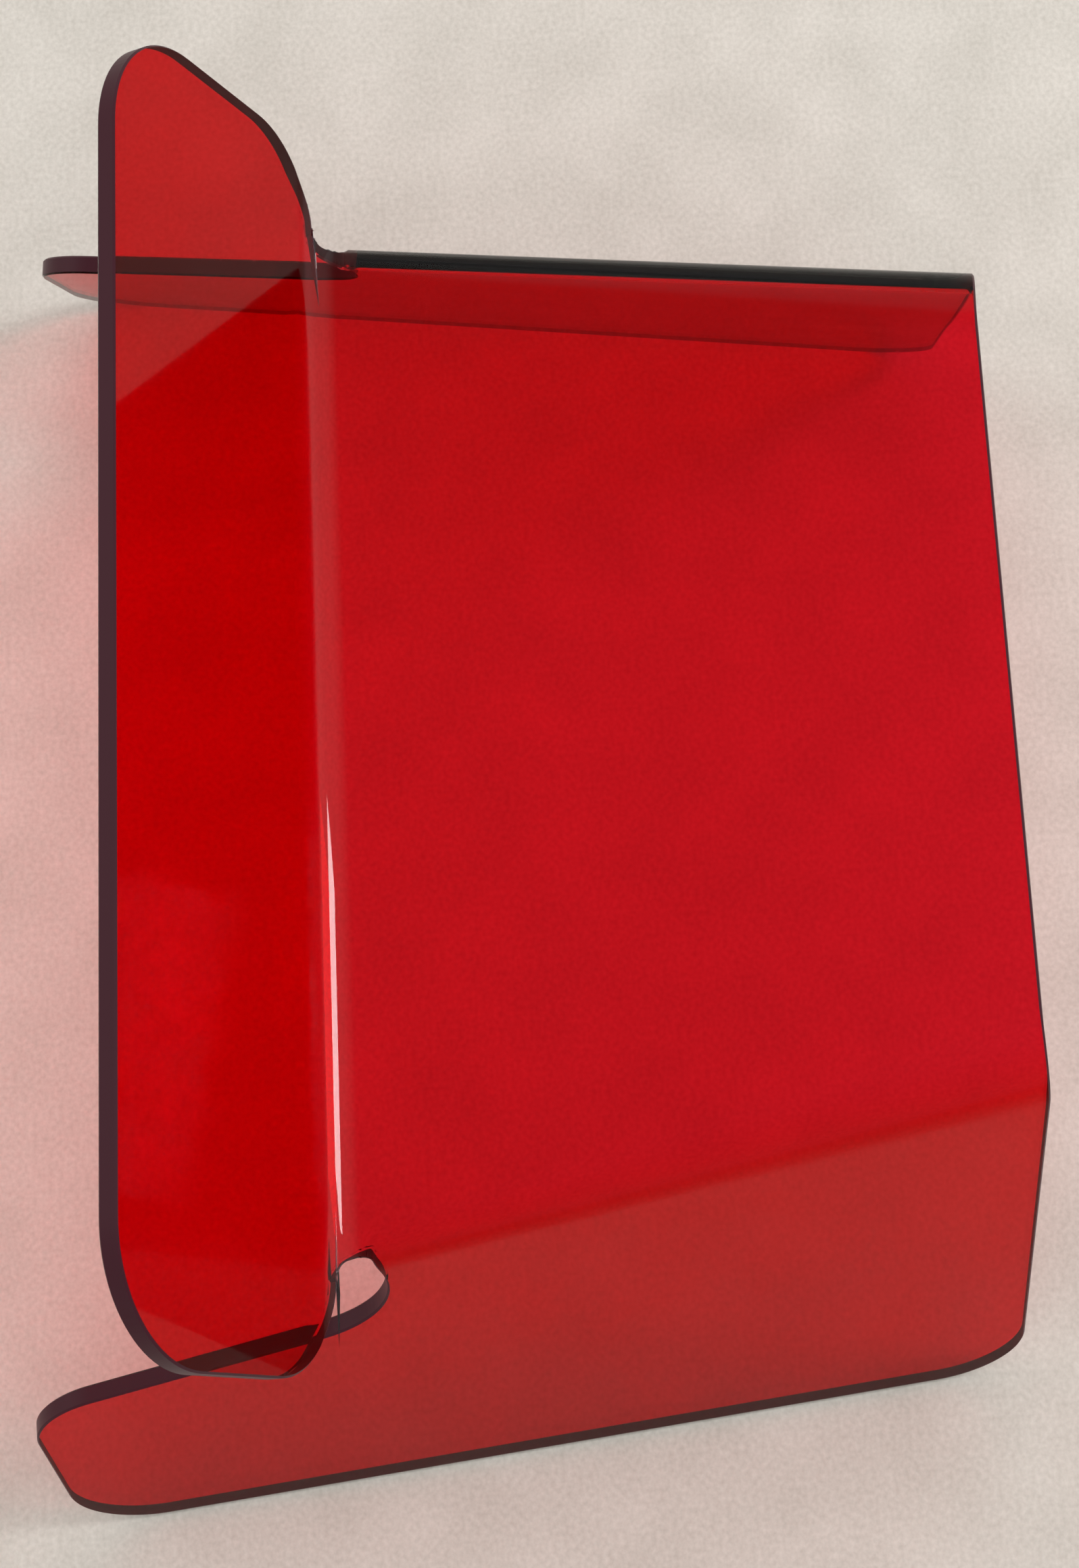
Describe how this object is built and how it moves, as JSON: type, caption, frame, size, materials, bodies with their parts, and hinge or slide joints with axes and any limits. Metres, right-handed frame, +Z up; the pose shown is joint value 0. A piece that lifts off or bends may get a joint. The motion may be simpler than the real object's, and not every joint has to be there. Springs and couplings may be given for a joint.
{
  "type": "folded acrylic table stand",
  "caption": "Chair-shaped table-top stand folded from one sheet of clear red acrylic, with a sloped seat, a low rest and two flared side legs.",
  "frame": {"origin": "middle of the footprint's box, on the surface that the stand rests on", "axes": "+Z up, -Y towards the open front, +X to the right seen from the front"},
  "size_m": [0.2234, 0.1584, 0.1271],
  "materials": {
    "red_acrylic": "transparent, polished faces, laser-cut edges"
  },
  "bodies": {
    "root": {"folded_sheet": "red_acrylic"}
  },
  "joints": []
}
